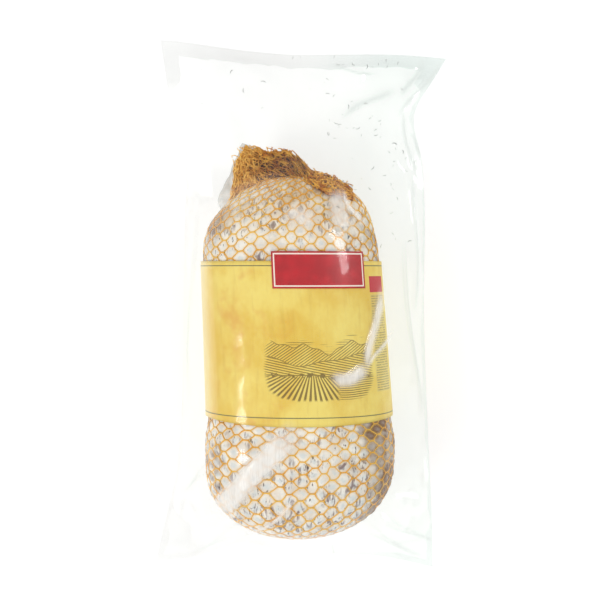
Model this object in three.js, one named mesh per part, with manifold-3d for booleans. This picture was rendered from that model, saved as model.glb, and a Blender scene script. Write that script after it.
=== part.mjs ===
// A netted, mould-ripened cured sausage with a paper band, sealed in a clear pouch and lying on its back.
// Millimetres. +Z is up, +Y runs from the foot of the sausage to its clipped crown, and the origin is on
// the resting plane, under the middle of the pouch.
import * as THREE from "three";
import { mergeVertices } from "three/addons/utils/BufferGeometryUtils.js";
import Module from "manifold-3d";

const wasm = await Module();
wasm.setup();

const { clamp, degToRad, lerp, smoothstep } = THREE.MathUtils;

// ---- Layers, from the skin outwards ----
const GAP = 0.35; // between layers that touch in the real thing
const NET_WALL = 0.8;
const BAND_WALL = 0.35;
const FILM_WALL = 0.5;
const NET_IN = GAP;
const NET_OUT = NET_IN + NET_WALL;
const FILM_IN = 4.4; // the film hangs a little loose of the band
const SEAM_GAP = 0.6; // between the two films where they are welded
const FILM_OUT = FILM_IN + FILM_WALL;

// ---- Sausage ----
const FOOT_Y = -160;
const CROWN_Y = 90;
const FOOT_CAP = 47; // length of the rounded foot
const CROWN_CAP = 52;
const HEIGHT_SHARE = 0.65; // half-height over half-width
const SQUARENESS = 2.15; // superellipse power of the section
const SKIN_BASE = FILM_OUT; // height of the flattened underside
const halfWidthAt = through([
  [-120, 64],
  [-93, 64.6],
  [-78, 62.4],
  [-20, 60.8],
  [30, 60],
  [50, 59],
]);
const centreAt = through([
  [-160, -1],
  [-93, 1],
  [-30, -1.8],
  [32, -5.2],
  [52, -5.5],
  [76, -1],
  [90, 0.5],
]);
const heightAt = through([
  [-160, 47],
  [-120, 43.4],
  [-93, 43.4],
  [-20, 41],
  [38, 40.4],
  [90, 38],
]);
const AROUND = 28; // facets round a section
const RINGS = 22; // facets from pole to pole
const CAP_TRAVEL = 0.3; // share of the pole-to-pole facets that each cap takes

// ---- Necks and clips ----
const NECK = { halfWidth: 4.2, halfHeight: 3.2, sides: 14 };
const CLIP = { wire: 1.8, depth: 2.8, bevel: 0.4 };
const CROWN_NECK = { at: new THREE.Vector3(-2, 92.2, 36), length: 15, tilt: 0 };
const FOOT_NECK = { at: new THREE.Vector3(-0.8, -149.6, 15.4), length: 16, tilt: degToRad(233) };

// ---- Flattened tail of casing and net beyond the crown clip ----
const TAIL = {
  root: new THREE.Vector3(-2, 98.5, 36),
  casing: 1, // casing thickness at the cut edge
  net: 2.4, // bunched net thickness
  rootShare: 0.1, // the sheet starts this share of the way out
};
// its cut edge, from the low left corner over the top left one to the right
const TAIL_EDGE = [
  [-57, 68, 27],
  [-48, 91, 28],
  [-39.5, 114, 30],
  [-24, 112, 32],
  [-9, 110, 34],
  [0.5, 103.5, 35],
  [8, 97.5, 35],
  [21, 92, 35],
  [36.5, 82.5, 34],
].map((corner) => new THREE.Vector3(...corner));

// ---- Paper band ----
const BAND = { low: -75, high: 30.5, lowHalf: 64.3, highHalf: 61.9, overlap: 0.12, step: 0.7, segments: 40 };

// ---- Pouch ----
const POUCH = { low: -180, high: 180, across: 24, along: 30 };
const CROWN_SLOPE = 0.9; // steepest the film runs off the crown, and off the foot
const FOOT_SLOPE = 2.8;
const EDGE_REACH = 45; // how far in from an end its edge line still bends the rows
const leftEdgeAt = through([
  [-188, -106],
  [-147, -93.5],
  [-114, -85.6],
  [-60, -82],
  [75, -79.5],
  [112, -79.5],
  [141, -90.5],
  [180, -99],
]);
const rightEdgeAt = through([
  [-186, 97.5],
  [-110, 92.5],
  [-3, 88],
  [62, 88.5],
  [104, 86],
  [133, 80.5],
  [157, 93.5],
  [180, 106],
]);
const topEdgeAt = through([
  [-96, 189],
  [-28, 181.8],
  [5, 178.4],
  [70, 180],
  [106, 176],
]);
const footEdgeAt = through([
  [-106, -187],
  [-75, -183.5],
  [-43, -172.5],
  [-15, -178.5],
  [48, -182],
  [97, -190.5],
]);
const seamHeightAt = through([
  [-184, 16],
  [-136, 31],
  [90, 33],
  [125, 28],
  [180, 12],
]);

// A smooth curve of value against position through a few stations, level beyond the first and last.
function through(stations) {
  const slopeAt = (i) => {
    const before = stations[Math.max(i - 1, 0)];
    const after = stations[Math.min(i + 1, stations.length - 1)];
    return (after[1] - before[1]) / (after[0] - before[0]);
  };
  return (at) => {
    const p = clamp(at, stations[0][0], stations.at(-1)[0]);
    const i = Math.max(0, stations.findIndex((s) => s[0] >= p) - 1);
    const [a, b] = [stations[i], stations[i + 1]];
    const span = b[0] - a[0];
    const t = (p - a[0]) / span;
    const bend = (1 - t) * slopeAt(i) - t * slopeAt(i + 1) + ((2 * t - 1) * (b[1] - a[1])) / span;
    return lerp(a[1], b[1], t) + t * (1 - t) * span * bend;
  };
}

// ---- Solids ----

// Moves every vertex of a three.js geometry to place(vertex), and merges it into one closed surface.
function shaped(geometry, place) {
  const positions = geometry.getAttribute("position");
  const vertex = new THREE.Vector3();
  for (let i = 0; i < positions.count; i++) {
    const { x, y, z } = place(vertex.fromBufferAttribute(positions, i));
    positions.setXYZ(i, x, y, z);
  }
  return closed(geometry);
}

function closed(geometry) {
  geometry.deleteAttribute("normal");
  geometry.deleteAttribute("uv");
  return mergeVertices(geometry, 1e-4);
}

function solid(geometry) {
  const vertProperties = new Float32Array(geometry.getAttribute("position").array);
  const triVerts = new Uint32Array(geometry.index.array);
  return new wasm.Manifold(new wasm.Mesh({ numProp: 3, vertProperties, triVerts }));
}

function geometryOf(manifold) {
  const { vertProperties, triVerts } = manifold.getMesh();
  const geometry = new THREE.BufferGeometry();
  geometry.setAttribute("position", new THREE.BufferAttribute(vertProperties, 3));
  geometry.setIndex(new THREE.BufferAttribute(triVerts, 1));
  geometry.computeVertexNormals();
  return geometry;
}

// ---- Sausage skin ----

// Position along the axis and share of the full section, for travel from 0 at the crown to 1 at the foot.
function stationAt(travel, grow) {
  const crownStart = CROWN_Y - CROWN_CAP;
  const footStart = FOOT_Y + FOOT_CAP;
  const quarter = Math.PI / 2;
  if (travel < CAP_TRAVEL) {
    const turn = (travel / CAP_TRAVEL) * quarter;
    return { y: crownStart + (CROWN_CAP + grow) * Math.cos(turn), share: Math.sin(turn) };
  }
  if (travel > 1 - CAP_TRAVEL) {
    const turn = ((1 - travel) / CAP_TRAVEL) * quarter;
    return { y: footStart - (FOOT_CAP + grow) * Math.cos(turn), share: Math.sin(turn) };
  }
  const t = (travel - CAP_TRAVEL) / (1 - 2 * CAP_TRAVEL);
  return { y: lerp(crownStart, footStart, t), share: 1 };
}

function squared(value) {
  return Math.sign(value) * Math.abs(value) ** (2 / SQUARENESS);
}

// A point of one section of the skin, or grow outside it, at an angle turned from +X towards +Z.
function sectionPoint(turn, { y, share }, grow) {
  const half = halfWidthAt(y);
  const x = centreAt(y) + (half + grow) * share * squared(Math.cos(turn));
  const z = heightAt(y) + (half * HEIGHT_SHARE + grow) * share * squared(Math.sin(turn));
  return new THREE.Vector3(x, y, Math.max(z, SKIN_BASE - grow));
}

function loaf(grow) {
  const ball = new THREE.SphereGeometry(1, AROUND, RINGS);
  return shaped(ball, (v) => {
    const travel = Math.acos(clamp(v.y, -1, 1)) / Math.PI;
    return sectionPoint(Math.atan2(v.z, v.x), stationAt(travel, grow), grow);
  });
}

// The closed-up neck at one end, from inside the loaf to beyond its clip.
function neck({ at, length, tilt }, grow, extra = 0) {
  const stub = new THREE.CylinderGeometry(1, 1, length + extra, NECK.sides);
  stub.scale(NECK.halfWidth + grow, 1, NECK.halfHeight + grow);
  stub.translate(0, extra / 2, 0);
  stub.rotateX(tilt);
  stub.translate(at.x, at.y, at.z);
  return closed(stub);
}

// ---- Tail ----

// A point of the tail's cut edge, for a share of the way from its low left corner to its right one.
function tailEdge(share) {
  const at = share * (TAIL_EDGE.length - 1);
  const i = clamp(Math.floor(at), 0, TAIL_EDGE.length - 2);
  return TAIL_EDGE[i].clone().lerp(TAIL_EDGE[i + 1], at - i);
}

// Half the casing's thickness: it thins from the neck to the cut edge.
function casingHalf(out) {
  return lerp(NECK.halfHeight - 0.5, TAIL.casing / 2, Math.sqrt(Math.min(out, 1)));
}

// A fan of sheet from near the neck to the cut edge, between the heights low and high of out above the
// tail's mid-surface.
function tailSheet({ from, to, start, reach, low, high }) {
  const block = new THREE.BoxGeometry(1, 1, 1, 16, 4, 1);
  return shaped(block, (v) => {
    const edge = tailEdge(lerp(from, to, v.x + 0.5));
    const out = lerp(start, reach, v.y + 0.5);
    const point = TAIL.root.clone().lerp(edge, out);
    point.z += v.z > 0 ? high(out) : low(out);
    return point;
  });
}

// ---- Paper band ----

// One strip wound round the waist: its last stretch lies over its first, under the sausage.
function bandGeometry() {
  const strip = new THREE.BoxGeometry(1, 1, 1, BAND.segments, 1, 4);
  return shaped(strip, (v) => {
    const wound = (v.x + 0.5) * (1 + BAND.overlap);
    const turn = 2 * Math.PI * wound - Math.PI / 2;
    const y = lerp(BAND.low, BAND.high, v.z + 0.5);
    const wall = v.y > 0 ? BAND_WALL : 0;
    const half = lerp(BAND.lowHalf, BAND.highHalf, v.z + 0.5);
    const grow = half - halfWidthAt(y) + wound * BAND.step + wall;
    const floor = SKIN_BASE - NET_OUT - 2 * GAP - wound * BAND.step - wall;
    const point = sectionPoint(turn, { y, share: 1 }, grow);
    point.z = Math.max(point.z, floor);
    return point;
  });
}

// ---- Pouch film ----

const END_TRAVELS = Array.from({ length: 61 }, (_, i) => i / 60);

// Widest half-width, and highest or lowest height, that the sausage pushes the film to at y: the film
// runs off each rounded end no steeper than that end's slope.
function pushedOut(y, side, grow) {
  const pushed = { half: 0, height: seamHeightAt(y) };
  for (const travel of END_TRAVELS) {
    const station = stationAt(travel, grow);
    const drop = (y > 0 ? CROWN_SLOPE : FOOT_SLOPE) * Math.abs(y - station.y);
    const top = sectionPoint((side * Math.PI) / 2, station, grow);
    const flank = sectionPoint(0, station, grow);
    pushed.half = Math.max(pushed.half, flank.x - centreAt(station.y) - drop);
    pushed.height =
      side > 0 ? Math.max(pushed.height, top.z - drop) : Math.min(pushed.height, top.z + drop);
  }
  return pushed;
}

// Everything that holds one film away from the seam line in the section at y, as points [x, z].
function proppedBy(y, side, grow) {
  const seam = seamHeightAt(y);
  const wall = side * (grow - FILM_IN + SEAM_GAP / 2);
  const props = [
    [leftEdgeAt(y), seam + wall],
    [rightEdgeAt(y), seam + wall],
  ];
  const { half, height } = pushedOut(y, side, grow);
  const inCrown = (y - (CROWN_Y - CROWN_CAP)) / (CROWN_CAP + grow);
  const inFoot = (FOOT_Y + FOOT_CAP - y) / (FOOT_CAP + grow);
  const inCap = Math.max(inCrown, inFoot, 0);
  for (let i = 0; i <= AROUND; i++) {
    const turn = (side * Math.PI * i) / AROUND;
    props.push([centreAt(y) + half * Math.cos(turn), seam + (height - seam) * Math.abs(Math.sin(turn))]);
    if (inCap < 1) {
      const point = sectionPoint(turn, { y, share: Math.sqrt(1 - inCap * inCap) }, grow);
      props.push([point.x, point.z]);
    }
  }
  // the tail of casing and net, and the clip under the foot
  const overTail = smoothstep(y, 62, 76) * (1 - smoothstep(y, 116, 140));
  const lift = side * (side > 0 ? 6.5 : 4) * overTail + wall;
  const tailDip = side < 0 ? 6 * overTail : 0;
  props.push([TAIL_EDGE[0].x - 3, seam + lift - tailDip], [TAIL_EDGE.at(-1).x + 3, seam + lift]);
  if (side < 0) {
    const overClip = smoothstep(y, -174, -159) * (1 - smoothstep(y, -142, -126));
    const z = lerp(seam, SKIN_BASE - grow, overClip);
    props.push([-10, z], [9, z]);
  }
  return props;
}

// The film drawn tight over its props: their upper hull for side 1, their lower hull for side -1.
function tautOver(props, side) {
  const sorted = [...props].sort((a, b) => a[0] - b[0] || side * (b[1] - a[1]));
  const path = [];
  for (const p of sorted) {
    while (path.length > 1) {
      const [a, b] = path.slice(-2);
      const bend = (b[0] - a[0]) * (p[1] - a[1]) - (b[1] - a[1]) * (p[0] - a[0]);
      if (side * bend < 0) break;
      path.pop();
    }
    path.push(p);
  }
  return path.filter((p, i) => i === 0 || p[0] > path[i - 1][0] + 1e-6);
}

// The point at a share of a path's length.
function alongPath(path, share) {
  const steps = path.slice(1).map((p, i) => Math.hypot(p[0] - path[i][0], p[1] - path[i][1]));
  let left = share * steps.reduce((sum, step) => sum + step, 0);
  for (let i = 0; i < steps.length; i++) {
    if (left <= steps[i] || i === steps.length - 1) {
      const t = Math.min(left / steps[i], 1);
      return [lerp(path[i][0], path[i + 1][0], t), lerp(path[i][1], path[i + 1][1], t)];
    }
    left -= steps[i];
  }
  return path[0];
}

// How far the free ends of the pouch wave up and down.
function ripple(x, y) {
  const crownEnd = smoothstep(y, 130, 180) * 3.5 * Math.sin(x / 17 + 0.6);
  const footEnd = (1 - smoothstep(y, -184, -166)) * 2.5 * Math.sin(x / 14);
  return crownEnd + footEnd;
}

// One sheet of the pouch: side 1 is the front film, side -1 the back film that the sausage lies on.
function filmGeometry(side) {
  const sheet = new THREE.BoxGeometry(1, 1, 1, POUCH.across, POUCH.along, 1);
  const paths = new Map();
  return shaped(sheet, (v) => {
    const row = lerp(POUCH.low, POUCH.high, v.y + 0.5);
    const grow = v.z * side > 0 ? FILM_OUT : FILM_IN;
    const key = `${row} ${grow}`;
    if (!paths.has(key)) paths.set(key, tautOver(proppedBy(row, side, grow), side));
    const [x, z] = alongPath(paths.get(key), v.x + 0.5);
    const nearCrown = smoothstep(row, POUCH.high - EDGE_REACH, POUCH.high);
    const nearFoot = 1 - smoothstep(row, POUCH.low, POUCH.low + EDGE_REACH / 2);
    const y = row + nearCrown * (topEdgeAt(x) - POUCH.high) + nearFoot * (footEdgeAt(x) - POUCH.low);
    return new THREE.Vector3(x, y, z + ripple(x, row));
  });
}

// ---- Clips ----

// An aluminium clip closed round a neck.
function clipGeometry({ at, tilt }, slide) {
  const inner = [NECK.halfWidth + NET_OUT + GAP, NECK.halfHeight + NET_OUT + GAP];
  const [wide, high] = inner.map((half) => half + CLIP.wire);
  const ring = new THREE.Shape().absellipse(0, 0, wide, high, 0, 2 * Math.PI);
  ring.holes.push(new THREE.Path().absellipse(0, 0, inner[0] + CLIP.bevel, inner[1] + CLIP.bevel, 0, 2 * Math.PI));
  const clip = new THREE.ExtrudeGeometry(ring, {
    depth: CLIP.depth - 2 * CLIP.bevel,
    bevelThickness: CLIP.bevel,
    bevelSize: CLIP.bevel,
    bevelSegments: 1,
    curveSegments: 10,
  });
  clip.translate(0, 0, -CLIP.depth / 2 + CLIP.bevel - slide);
  clip.rotateX(Math.PI / 2 + tilt);
  clip.translate(at.x, at.y, at.z);
  return closed(clip);
}

// ---- The object ----

const COLOURS = {
  skin: { color: 0xe6dccb, roughness: 0.9, metalness: 0 },
  net: { color: 0xe0a04a, roughness: 0.75, metalness: 0 },
  clip: { color: 0xc4c7ca, roughness: 0.35, metalness: 1 },
  band: { color: 0xead27a, roughness: 0.6, metalness: 0 },
  film: { color: 0xf2faf6, roughness: 0.08, metalness: 0, transparent: true, opacity: 0.25 },
};

function mesh(name, geometry, finish) {
  const made = new THREE.Mesh(geometry, new THREE.MeshStandardMaterial(COLOURS[finish]));
  made.name = name;
  return made;
}

// The cased meat, with the casing's flattened tail beyond the crown clip and its stub under the foot.
function sausage() {
  const casingTail = tailSheet({
    from: 0,
    to: 1,
    start: TAIL.rootShare,
    reach: 1,
    low: (out) => -casingHalf(out),
    high: casingHalf,
  });
  return solid(loaf(0))
    .add(solid(neck(CROWN_NECK, 0)))
    .add(solid(neck(FOOT_NECK, 0)))
    .add(solid(casingTail));
}

// The tubular net round the loaf and both necks, and its bunched end lying on the casing's tail.
function net() {
  const outside = solid(loaf(NET_OUT))
    .add(solid(neck(CROWN_NECK, NET_OUT)))
    .add(solid(neck(FOOT_NECK, NET_OUT)));
  const inside = solid(loaf(NET_IN))
    .add(solid(neck(CROWN_NECK, NET_IN, 6)))
    .add(solid(neck(FOOT_NECK, NET_IN, 6)));
  const bunch = tailSheet({
    from: 0.07,
    to: 0.97,
    start: TAIL.rootShare + 0.04,
    reach: 0.96,
    low: () => 0,
    high: (out) => casingHalf(out) + GAP + TAIL.net,
  });
  const roomForTail = tailSheet({
    from: -0.02,
    to: 1.03,
    start: TAIL.rootShare - 0.06,
    reach: 1.03,
    low: (out) => -casingHalf(out) - GAP,
    high: (out) => casingHalf(out) + GAP,
  });
  return outside.add(solid(bunch)).subtract(inside).subtract(solid(roomForTail));
}

const pouchedSausage = new THREE.Group();
pouchedSausage.add(
  mesh("sausage", geometryOf(sausage()), "skin"),
  mesh("net", geometryOf(net()), "net"),
  mesh("crown_clip", clipGeometry(CROWN_NECK, 0.7), "clip"),
  mesh("foot_clip", clipGeometry(FOOT_NECK, 1.5), "clip"),
  mesh("paper_band", bandGeometry(), "band"),
  mesh("pouch_front_film", filmGeometry(1), "film"),
  mesh("pouch_back_film", filmGeometry(-1), "film"),
);

// The origin goes to the resting plane, under the middle of the pouch.
const extent = new THREE.Box3().setFromObject(pouchedSausage);
const middle = extent.getCenter(new THREE.Vector3());
pouchedSausage.position.set(-middle.x, -middle.y, -extent.min.z);

export default pouchedSausage;
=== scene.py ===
import math

import bmesh
import bpy
import numpy as np
from mathutils import Matrix, Vector
from mathutils.bvhtree import BVHTree
from mathutils.kdtree import KDTree


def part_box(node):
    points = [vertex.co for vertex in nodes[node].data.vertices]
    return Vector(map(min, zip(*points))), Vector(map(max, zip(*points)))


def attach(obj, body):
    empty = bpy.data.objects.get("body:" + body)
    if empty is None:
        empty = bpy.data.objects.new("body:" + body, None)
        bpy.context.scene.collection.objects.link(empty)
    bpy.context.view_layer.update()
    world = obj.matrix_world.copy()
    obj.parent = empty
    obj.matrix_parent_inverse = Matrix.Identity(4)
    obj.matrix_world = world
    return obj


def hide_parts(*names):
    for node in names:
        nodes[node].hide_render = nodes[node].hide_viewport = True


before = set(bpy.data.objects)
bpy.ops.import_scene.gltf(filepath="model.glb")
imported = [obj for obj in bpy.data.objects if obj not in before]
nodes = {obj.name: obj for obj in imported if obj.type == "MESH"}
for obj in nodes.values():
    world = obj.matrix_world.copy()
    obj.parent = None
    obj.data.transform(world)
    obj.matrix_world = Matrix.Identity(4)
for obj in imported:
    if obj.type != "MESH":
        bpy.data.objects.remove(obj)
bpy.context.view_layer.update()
scene = bpy.context.scene
fullTurn = 2 * math.pi


def through(*stations):
    # a smooth curve through (position, value) pairs in millimetres, level beyond its ends
    at, value = np.array(stations, float).T / 1000
    slope = np.array([
        (value[min(i + 1, len(at) - 1)] - value[max(i - 1, 0)])
        / (at[min(i + 1, len(at) - 1)] - at[max(i - 1, 0)])
        for i in range(len(at))
    ])

    def curve(where):
        p = np.clip(np.asarray(where, float), at[0], at[-1])
        i = np.clip(np.searchsorted(at, p) - 1, 0, len(at) - 2)
        span = at[i + 1] - at[i]
        t = (p - at[i]) / span
        bend = (1 - t) * slope[i] - t * slope[i + 1] + (2 * t - 1) * (value[i + 1] - value[i]) / span
        return value[i] + t * (value[i + 1] - value[i]) + t * (1 - t) * span * bend

    return curve


def lengthAlong(line):
    return np.concatenate([[0], np.cumsum(np.linalg.norm(np.diff(line, axis=0), axis=1))])


def eased(value, low, high):
    share = min(1.0, max(0.0, (value - low) / (high - low)))
    return share * share * (3 - 2 * share)


def waves(x, y, size, seed):
    # a smooth uneven field of about -1..1 with features of about the given size
    count = 10
    draw = np.random.default_rng(seed)
    total = np.zeros(np.broadcast(x, y).shape)
    for _ in range(count):
        angle, phase = draw.uniform(0, fullTurn, 2)
        length = size * draw.uniform(0.7, 1.6)
        total += np.sin(fullTurn * (x * math.cos(angle) + y * math.sin(angle)) / length + phase)
    return total / math.sqrt(count)


def newObject(name, data):
    made = bpy.data.objects.new(name, data)
    scene.collection.objects.link(made)
    return made


def surfaceMesh(name, grid, wrapped=False, poles=False):
    # a mesh over a grid of points, rows by columns, with a map named wrap running 0..1 each way
    rows, cols = grid.shape[:2]
    across = cols if wrapped else cols - 1
    r, c = np.meshgrid(np.arange(rows - 1), np.arange(across), indexing="ij")
    nextC = (c + 1) % cols
    quads = np.stack([r * cols + c, r * cols + nextC, (r + 1) * cols + nextC, (r + 1) * cols + c], -1)
    uAt = np.stack([c, c + 1, c + 1, c], -1).reshape(-1, 4) / across
    vRow = (np.arange(rows) + (1 if poles else 0)) / (rows + 1 if poles else rows - 1)
    vAt = np.stack([vRow[r], vRow[r], vRow[r + 1], vRow[r + 1]], -1).reshape(-1, 4)
    points = grid.reshape(-1, 3)
    faces = [tuple(q) for q in quads.reshape(-1, 4).tolist()]
    uvs = np.stack([uAt, vAt], -1).reshape(-1, 2)
    if poles:
        first, last = len(points), len(points) + 1
        points = np.vstack([points, grid[0].mean(0), grid[-1].mean(0)])
        tips = []
        for i in range(cols):
            j = (i + 1) % cols
            faces.append((first, j, i))
            faces.append((last, (rows - 1) * cols + i, (rows - 1) * cols + j))
            a, b = i / cols, (i + 1) / cols
            tips += [((a + b) / 2, 0), (b, vRow[0]), (a, vRow[0])]
            tips += [((a + b) / 2, 1), (a, vRow[-1]), (b, vRow[-1])]
        uvs = np.vstack([uvs, np.array(tips)])
    mesh = bpy.data.meshes.new(name)
    mesh.from_pydata(points.tolist(), [], faces)
    mesh.uv_layers.new(name="wrap").data.foreach_set("uv", uvs.astype(np.float32).ravel())
    smoothed(mesh)
    mesh.update()
    return mesh


def smoothed(mesh):
    mesh.polygons.foreach_set("use_smooth", [True] * len(mesh.polygons))


def vertexArray(mesh):
    flat = np.empty(len(mesh.vertices) * 3, np.float32)
    mesh.vertices.foreach_get("co", flat)
    return flat.reshape(-1, 3).astype(float)


def setVertices(mesh, points):
    mesh.vertices.foreach_set("co", np.asarray(points, np.float32).ravel())
    mesh.update()


def setMaterial(piece, material):
    piece.data.materials.clear()
    piece.data.materials.append(material)


def settle(piece):
    # the evaluated shape becomes the piece's plain mesh
    bpy.context.view_layer.update()
    graph = bpy.context.evaluated_depsgraph_get()
    shown = piece.evaluated_get(graph)
    mesh = bpy.data.meshes.new_from_object(shown, preserve_all_data_layers=True, depsgraph=graph)
    piece.modifiers.clear()
    piece.data = mesh
    smoothed(mesh)
    mesh.update()
    return piece


def walled(piece, wall):
    thick = piece.modifiers.new("wall", "SOLIDIFY")
    thick.thickness = wall
    thick.offset = 0
    return settle(piece)


def mergedCopy(node, name):
    # a welded copy of a CAD node with its pairs of triangles joined back into quads
    work = bmesh.new()
    work.from_mesh(nodes[node].data)
    bmesh.ops.remove_doubles(work, verts=work.verts, dist=1e-6)
    bmesh.ops.join_triangles(work, faces=work.faces, angle_face_threshold=0.7, angle_shape_threshold=3.1)
    mesh = bpy.data.meshes.new(name)
    work.to_mesh(mesh)
    work.free()
    return mesh


def finished(piece, slot, *replaced):
    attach(piece, "root")
    if replaced:
        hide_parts(*replaced)
    print(piece.name, len(piece.data.polygons), "faces")


class NodeTree:
    # one tree, with short calls for the nodes that are used again and again
    def __init__(self, tree):
        self.tree, self.nodes, self.links = tree, tree.nodes, tree.links

    def add(self, kind, inputs=None, **settings):
        made = self.nodes.new(kind)
        for key, value in settings.items():
            setattr(made, key, value)
        for key, value in (inputs or {}).items():
            if isinstance(value, bpy.types.NodeSocket):
                self.links.new(value, made.inputs[key])
            else:
                made.inputs[key].default_value = value
        return made

    def calc(self, operation, *values, clamp=False):
        inputs = dict(enumerate(values))
        return self.add("ShaderNodeMath", inputs, operation=operation, use_clamp=clamp).outputs[0]

    def plus(self, a, b):
        return self.calc("ADD", a, b)

    def minus(self, a, b):
        return self.calc("SUBTRACT", a, b)

    def times(self, a, b):
        return self.calc("MULTIPLY", a, b)

    def timesPlus(self, a, b, c):
        return self.calc("MULTIPLY_ADD", a, b, c)

    def over(self, a, b):
        return self.calc("DIVIDE", a, b)

    def least(self, a, b):
        return self.calc("MINIMUM", a, b)

    def most(self, *values):
        found = values[0]
        for value in values[1:]:
            found = self.calc("MAXIMUM", found, value)
        return found

    def size(self, value):
        return self.calc("ABSOLUTE", value)

    def vector(self, operation, *values):
        return self.add("ShaderNodeVectorMath", dict(enumerate(values)), operation=operation).outputs[0]

    def scaled(self, vector, factor):
        return self.add("ShaderNodeVectorMath", {0: vector, "Scale": factor}, operation="SCALE").outputs[0]

    def xyz(self, x=0.0, y=0.0, z=0.0):
        return self.add("ShaderNodeCombineXYZ", {0: x, 1: y, 2: z}).outputs[0]

    def parts(self, vector):
        return self.add("ShaderNodeSeparateXYZ", {0: vector}).outputs

    def ranged(self, value, low, high, toLow=0.0, toHigh=1.0, smooth=True):
        inputs = {0: value, 1: low, 2: high, 3: toLow, 4: toHigh}
        kind = "SMOOTHSTEP" if smooth else "LINEAR"
        return self.add("ShaderNodeMapRange", inputs, interpolation_type=kind).outputs[0]

    def mixed(self, share, a, b):
        return self.add("ShaderNodeMix", {0: share, 6: a, 7: b}, data_type="RGBA").outputs[2]

    def noise(self, vector, scale, detail=2.0, roughness=0.5, distortion=0.0, colour=False):
        made = self.add("ShaderNodeTexNoise", {
            "Vector": vector, "Scale": scale, "Detail": detail, "Roughness": roughness,
            "Distortion": distortion})
        return made.outputs[1 if colour else 0]

    def turned(self, vector, scale, rotation=(0, 0, 0)):
        inputs = {"Vector": vector, "Rotation": rotation, "Scale": scale}
        return self.add("ShaderNodeMapping", inputs).outputs[0]

    def place(self):
        return self.add("ShaderNodeTexCoord").outputs["Object"]

    def attribute(self, name):
        return self.add("ShaderNodeAttribute", attribute_name=name).outputs["Fac"]

    def uvMap(self, name):
        return self.add("ShaderNodeUVMap", uv_map=name).outputs[0]


def paint(shown):
    # linear colour from three 0..255 display values
    def channel(v):
        v = v / 255
        return v / 12.92 if v <= 0.04045 else ((v + 0.055) / 1.055) ** 2.4
    return (*(channel(v) for v in shown), 1.0)


def newMaterial(name):
    material = bpy.data.materials.new(name)
    material.use_nodes = True
    tree = NodeTree(material.node_tree)
    return material, tree, tree.nodes["Principled BSDF"]


def surfaced(tree, shader, colour, roughness, specular=None, bump=None):
    # bump: strength, distance, height
    tree.links.new(colour, shader.inputs["Base Color"])
    shader.inputs["Roughness"].default_value = roughness
    if specular is not None:
        shader.inputs["Specular IOR Level"].default_value = specular
    if bump:
        relief = tree.add("ShaderNodeBump", dict(zip(("Strength", "Distance", "Height"), bump)))
        tree.links.new(relief.outputs[0], shader.inputs["Normal"])


def geometryTree(name, **sockets):
    # a geometry node group with named inputs, given as lists of labels under their kinds
    tree = bpy.data.node_groups.new(name, "GeometryNodeTree")
    tree.interface.new_socket("Geometry", in_out="INPUT", socket_type="NodeSocketGeometry")
    for kind, labels in sockets.items():
        for label in labels:
            tree.interface.new_socket(label, in_out="INPUT", socket_type="NodeSocket" + kind)
    tree.interface.new_socket("Geometry", in_out="OUTPUT", socket_type="NodeSocketGeometry")
    kit = NodeTree(tree)
    return kit, kit.add("NodeGroupInput").outputs, kit.add("NodeGroupOutput")


def closeTree(tree, geometry, given, result):
    # every tree ends in real geometry with its material set
    real = tree.add("GeometryNodeRealizeInstances", {0: geometry}).outputs[0]
    coloured = tree.add("GeometryNodeSetMaterial", {"Geometry": real, "Material": given["Material"]})
    tree.links.new(coloured.outputs[0], result.inputs[0])
    return tree.tree


def useTree(piece, tree, values):
    modifier = piece.modifiers.new(tree.name, "NODES")
    modifier.node_group = tree
    keys = {item.name: item.identifier for item in tree.interface.items_tree
            if item.item_type == "SOCKET" and item.in_out == "INPUT"}
    for label, value in values.items():
        modifier[keys[label]] = value
    return settle(piece)


# the loaf's own shape, as its CAD solid has it
loaf = dict(footY=-0.160, crownY=0.090, footCap=0.047, crownCap=0.052, capShare=0.3, heightShare=0.65,
            squareness=2.15, base=0.0049, lowX=-0.06513, around=264, along=250)
halfWidthAt = through((-120, 64), (-93, 64.6), (-78, 62.4), (-20, 60.8), (30, 60), (50, 59))
centreAt = through((-160, -1), (-93, 1), (-30, -1.8), (32, -5.2), (52, -5.5), (76, -1), (90, 0.5))
heightAt = through((-160, 47), (-120, 43.4), (-93, 43.4), (-20, 41), (38, 40.4), (90, 38))
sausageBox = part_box("sausage")
shift = np.array([sausageBox[0][0] - loaf["lowX"], sausageBox[0][1] - loaf["footY"], 0.0])
sweep = np.linspace(-math.pi / 2, 1.5 * math.pi, 3001)


def squared(v):
    return np.sign(v) * np.abs(v) ** (2 / loaf["squareness"])


def sectionPoint(turn, y, share=1.0, grow=0.0, under=None):
    # under: how far below its flat base the section may reach
    half = halfWidthAt(y)
    x = centreAt(y) + (half + grow) * share * squared(np.cos(turn))
    z = heightAt(y) + (half * loaf["heightShare"] + grow) * share * squared(np.sin(turn))
    z = np.maximum(z, loaf["base"] - (grow if under is None else under))
    return np.stack(np.broadcast_arrays(x, y, z), -1) + shift


def stationAt(travel):
    # position along the axis and share of the full section, travel 0 at the crown to 1 at the foot
    cap = loaf["capShare"]
    crownStart = loaf["crownY"] - loaf["crownCap"]
    footStart = loaf["footY"] + loaf["footCap"]
    crownTurn = np.clip(travel / cap, 0, 1) * math.pi / 2
    footTurn = np.clip((1 - travel) / cap, 0, 1) * math.pi / 2
    y = crownStart + (footStart - crownStart) * np.clip((travel - cap) / (1 - 2 * cap), 0, 1)
    y = np.where(travel < cap, crownStart + loaf["crownCap"] * np.cos(crownTurn), y)
    y = np.where(travel > 1 - cap, footStart - loaf["footCap"] * np.cos(footTurn), y)
    footShare = np.where(travel > 1 - cap, np.sin(footTurn), 1.0)
    return y, np.where(travel < cap, np.sin(crownTurn), footShare)


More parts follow.
